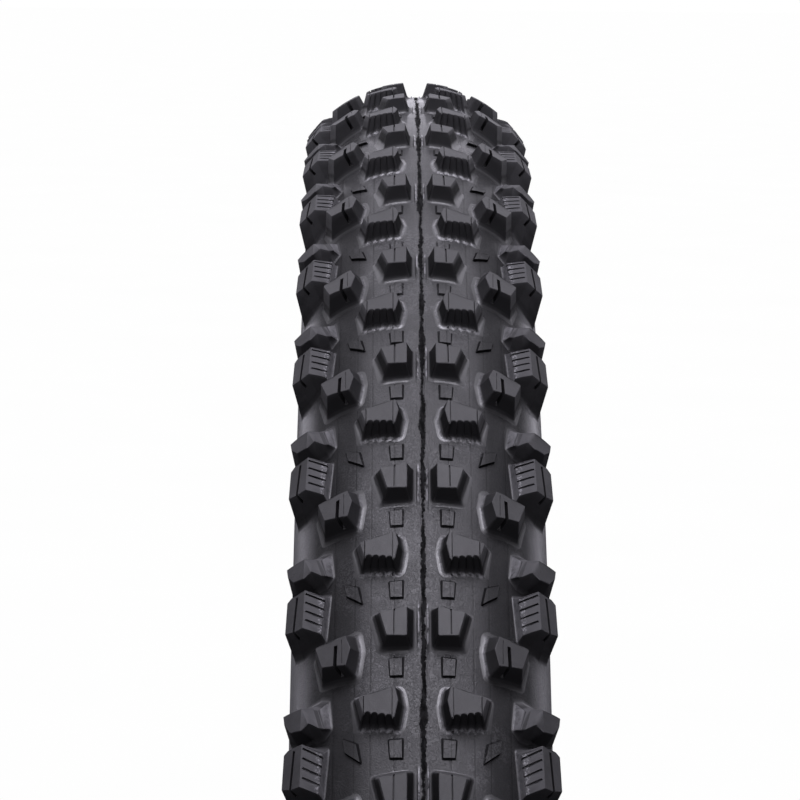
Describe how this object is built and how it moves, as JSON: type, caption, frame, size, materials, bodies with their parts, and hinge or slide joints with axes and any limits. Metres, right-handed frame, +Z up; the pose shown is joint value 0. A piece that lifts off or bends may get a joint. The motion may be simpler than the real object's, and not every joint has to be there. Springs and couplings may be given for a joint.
{
  "type": "bicycle tire",
  "caption": "Off-road bicycle tire for a 622 mm rim, with blocky centre knobs, slotted middle knobs and ribbed shoulder blocks on a layered casing.",
  "frame": {"origin": "centre of the wheel, on the wheel axis and midway between the two beads", "axes": "+Y along the wheel axis towards the left side, +Z up, +X the way the wheel rolls"},
  "size_m": [0.7458, 0.0634, 0.746],
  "materials": {
    "tread_base_rubber": "satin black rubber with a fine mould texture",
    "knob_rubber": "matte black rubber, slightly grey on the knob tops",
    "sidewall_rubber": "satin black rubber over a fine fabric texture",
    "chafer_rubber": "hard black rubber with a woven print",
    "hard_rubber": "plain black rubber",
    "butyl_liner": "dull grey black airtight film",
    "casing_fabric": "rubbered nylon cord laid on the bias",
    "belt_fabric": "rubbered square woven nylon",
    "bead_wire": "bronze plated steel wire"
  },
  "bodies": {
    "root": {"inner_liner": "butyl_liner", "carcass_ply_inner": "casing_fabric", "carcass_ply_outer": "casing_fabric", "bead_core_left": "bead_wire", "bead_core_right": "bead_wire", "bead_filler_left": "hard_rubber", "bead_filler_right": "hard_rubber", "chafer_left": "chafer_rubber", "chafer_right": "chafer_rubber", "puncture_belt": "belt_fabric", "sidewall_guard_left": "belt_fabric", "sidewall_guard_right": "belt_fabric", "sidewall_left": "sidewall_rubber", "sidewall_right": "sidewall_rubber", "undertread": "hard_rubber", "tread_center_cap": "tread_base_rubber", "tread_shoulder_cap_left": "tread_base_rubber", "tread_shoulder_cap_right": "tread_base_rubber", "center_wide_knobs": "knob_rubber", "center_narrow_knobs": "knob_rubber", "transition_knobs_left": "knob_rubber", "transition_knobs_right": "knob_rubber", "shoulder_chevron_knobs_left": "knob_rubber", "shoulder_chevron_knobs_right": "knob_rubber", "shoulder_block_knobs_left": "knob_rubber", "shoulder_block_knobs_right": "knob_rubber", "center_pads": "tread_base_rubber", "side_pads_left": "tread_base_rubber", "side_pads_right": "tread_base_rubber"}
  },
  "joints": []
}
